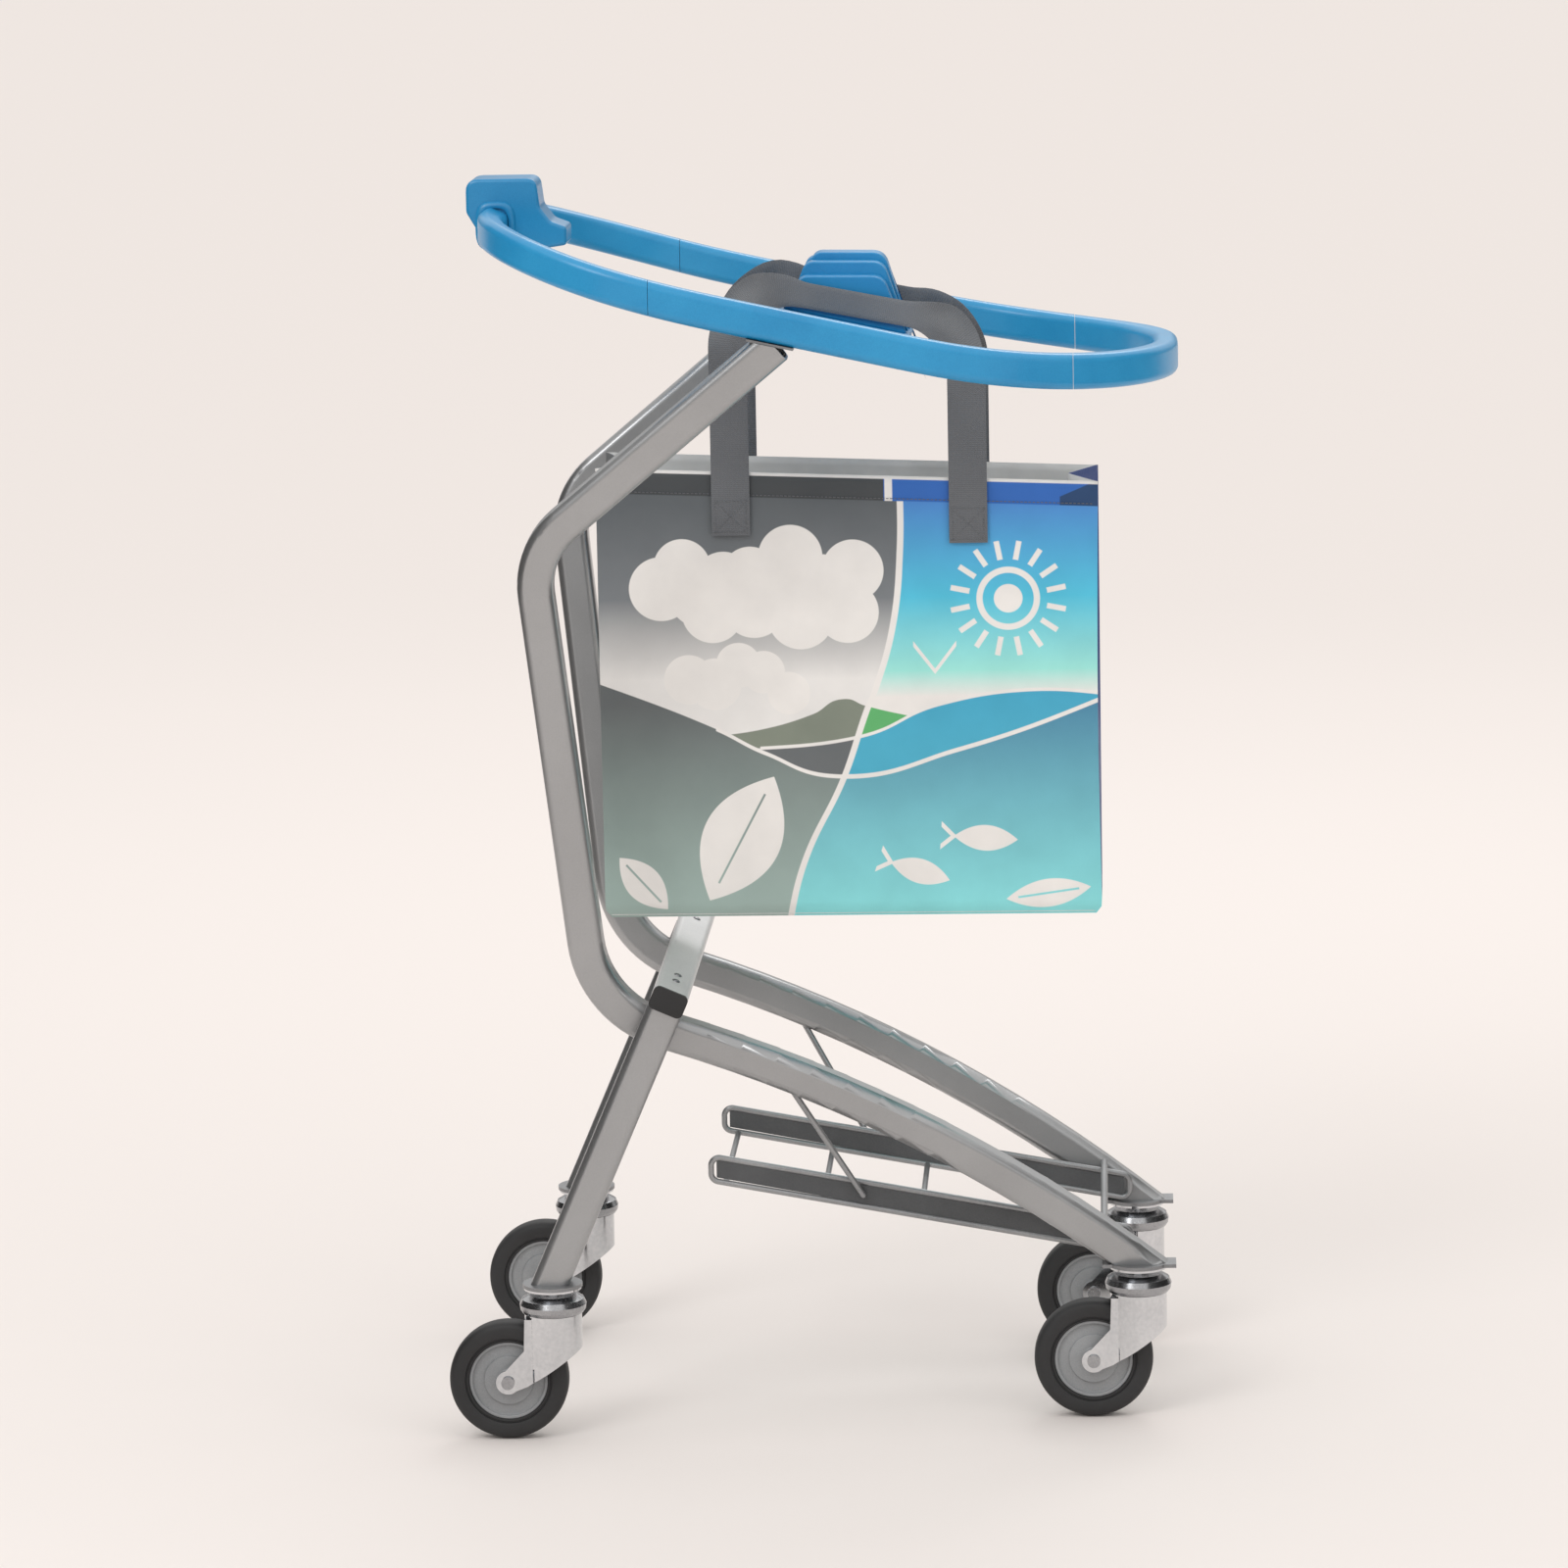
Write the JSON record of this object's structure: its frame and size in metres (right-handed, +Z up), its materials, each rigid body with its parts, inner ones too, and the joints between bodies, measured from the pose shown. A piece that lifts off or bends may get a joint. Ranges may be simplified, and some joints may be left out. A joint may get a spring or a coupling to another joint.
{
  "type": "hand-luggage trolley",
  "caption": "Bent-tube hand-luggage trolley with a blue hoop handle, a printed carrier bag hanging from its saddle, a small wire rack and swivel casters.",
  "frame": {"origin": "middle of the bounding box on the floor, under the wheels", "axes": "+Z up, +X forwards (the way the trolley is pushed), right side at -Y"},
  "size_m": [0.618, 0.4252, 1.042],
  "materials": {
    "frame_tube": "satin grey enamel",
    "crossbar": "light grey enamel",
    "black_plastic": "moulded",
    "fasteners": "zinc plated",
    "plates": "satin",
    "rack_panel": "dark powder coat",
    "rack_wire": "grey powder coat",
    "blue_hoop": "moulded, softly glossy",
    "blue_block": "moulded, softly glossy",
    "blue_saddle": "moulded, softly glossy",
    "bag_fabric": "printed, laminated non-woven",
    "bag_board": "stiff board",
    "webbing": "woven",
    "caster_chrome": "bright plated",
    "caster_steel": "zinc plated",
    "wheel_hub": "moulded",
    "wheel_tyre": "solid rubber"
  },
  "bodies": {
    "bag": {"bag_base_board": "bag_board", "bag_shell": "bag_fabric", "bag_strap_legs_left": "webbing", "bag_strap_legs_right": "webbing"},
    "frame": {"bag_strap_arch_left": "webbing", "bag_strap_arch_right": "webbing", "caster_front_left_stem": "caster_steel", "caster_front_right_stem": "caster_steel", "caster_rear_left_stem": "caster_steel", "caster_rear_right_stem": "caster_steel", "crossbar_end_caps": "black_plastic", "crossbar_rivets": "fasteners", "front_cross_rod": "rack_wire", "front_foot_plates": "plates", "handle_block": "blue_block", "handle_block_lid": "blue_block", "hoop_bolts": "fasteners", "hoop_nose": "blue_hoop", "hoop_rail_left": "blue_hoop", "hoop_rail_right": "blue_hoop", "hoop_tail_left": "blue_hoop", "hoop_tail_right": "blue_hoop", "rack_cross_rods": "rack_wire", "rack_panel_left": "rack_panel", "rack_panel_right": "rack_panel", "rack_rim_left": "rack_wire", "rack_rim_right": "rack_wire", "rack_stay_left": "rack_wire", "rack_stay_right": "rack_wire", "rear_crossbar": "crossbar", "rear_foot_plates": "plates", "rear_leg_left": "frame_tube", "rear_leg_right": "frame_tube", "saddle_base": "blue_saddle", "saddle_bridge": "blue_saddle", "saddle_hump": "blue_saddle", "saddle_screws": "fasteners", "side_tube_left": "frame_tube", "side_tube_right": "frame_tube", "swivel_balls": "caster_steel", "swivel_cups": "caster_chrome", "tube_top_plates": "plates"},
    "swivel_front_left": {"caster_front_left_axle": "caster_steel", "caster_front_left_fork": "caster_chrome"},
    "wheel_front_left": {"caster_front_left_hub": "wheel_hub", "caster_front_left_tyre": "wheel_tyre"},
    "swivel_front_right": {"caster_front_right_axle": "caster_steel", "caster_front_right_fork": "caster_chrome"},
    "wheel_front_right": {"caster_front_right_hub": "wheel_hub", "caster_front_right_tyre": "wheel_tyre"},
    "swivel_rear_left": {"caster_rear_left_axle": "caster_steel", "caster_rear_left_fork": "caster_chrome"},
    "wheel_rear_left": {"caster_rear_left_hub": "wheel_hub", "caster_rear_left_tyre": "wheel_tyre"},
    "swivel_rear_right": {"caster_rear_right_axle": "caster_steel", "caster_rear_right_fork": "caster_chrome"},
    "wheel_rear_right": {"caster_rear_right_hub": "wheel_hub", "caster_rear_right_tyre": "wheel_tyre"}
  },
  "joints": [
    {"name": "rear_right_swivel", "type": "hinge", "parent": "frame", "child": "swivel_rear_right", "pos_m": [-0.221, -0.178, 0.11], "axis": [0, 0, 1], "continuous": true},
    {"name": "rear_right_roll", "type": "hinge", "parent": "swivel_rear_right", "child": "wheel_rear_right", "pos_m": [-0.259, -0.178, 0.05], "axis": [0, 1, 0], "continuous": true},
    {"name": "rear_left_swivel", "type": "hinge", "parent": "frame", "child": "swivel_rear_left", "pos_m": [-0.221, 0.178, 0.11], "axis": [0, 0, 1], "continuous": true},
    {"name": "rear_left_roll", "type": "hinge", "parent": "swivel_rear_left", "child": "wheel_rear_left", "pos_m": [-0.259, 0.178, 0.05], "axis": [0, 1, 0], "continuous": true},
    {"name": "front_right_swivel", "type": "hinge", "parent": "frame", "child": "swivel_front_right", "pos_m": [0.268, -0.117, 0.11], "axis": [0, 0, 1], "continuous": true},
    {"name": "front_right_roll", "type": "hinge", "parent": "swivel_front_right", "child": "wheel_front_right", "pos_m": [0.23, -0.117, 0.05], "axis": [0, 1, 0], "continuous": true},
    {"name": "front_left_swivel", "type": "hinge", "parent": "frame", "child": "swivel_front_left", "pos_m": [0.268, 0.117, 0.11], "axis": [0, 0, 1], "continuous": true},
    {"name": "front_left_roll", "type": "hinge", "parent": "swivel_front_left", "child": "wheel_front_left", "pos_m": [0.23, 0.117, 0.05], "axis": [0, 1, 0], "continuous": true},
    {"name": "bag_swing", "type": "hinge", "parent": "frame", "child": "bag", "pos_m": [0.03, 0, 0.876], "axis": [1, 0, 0], "range_deg": [-4, 4]}
  ]
}
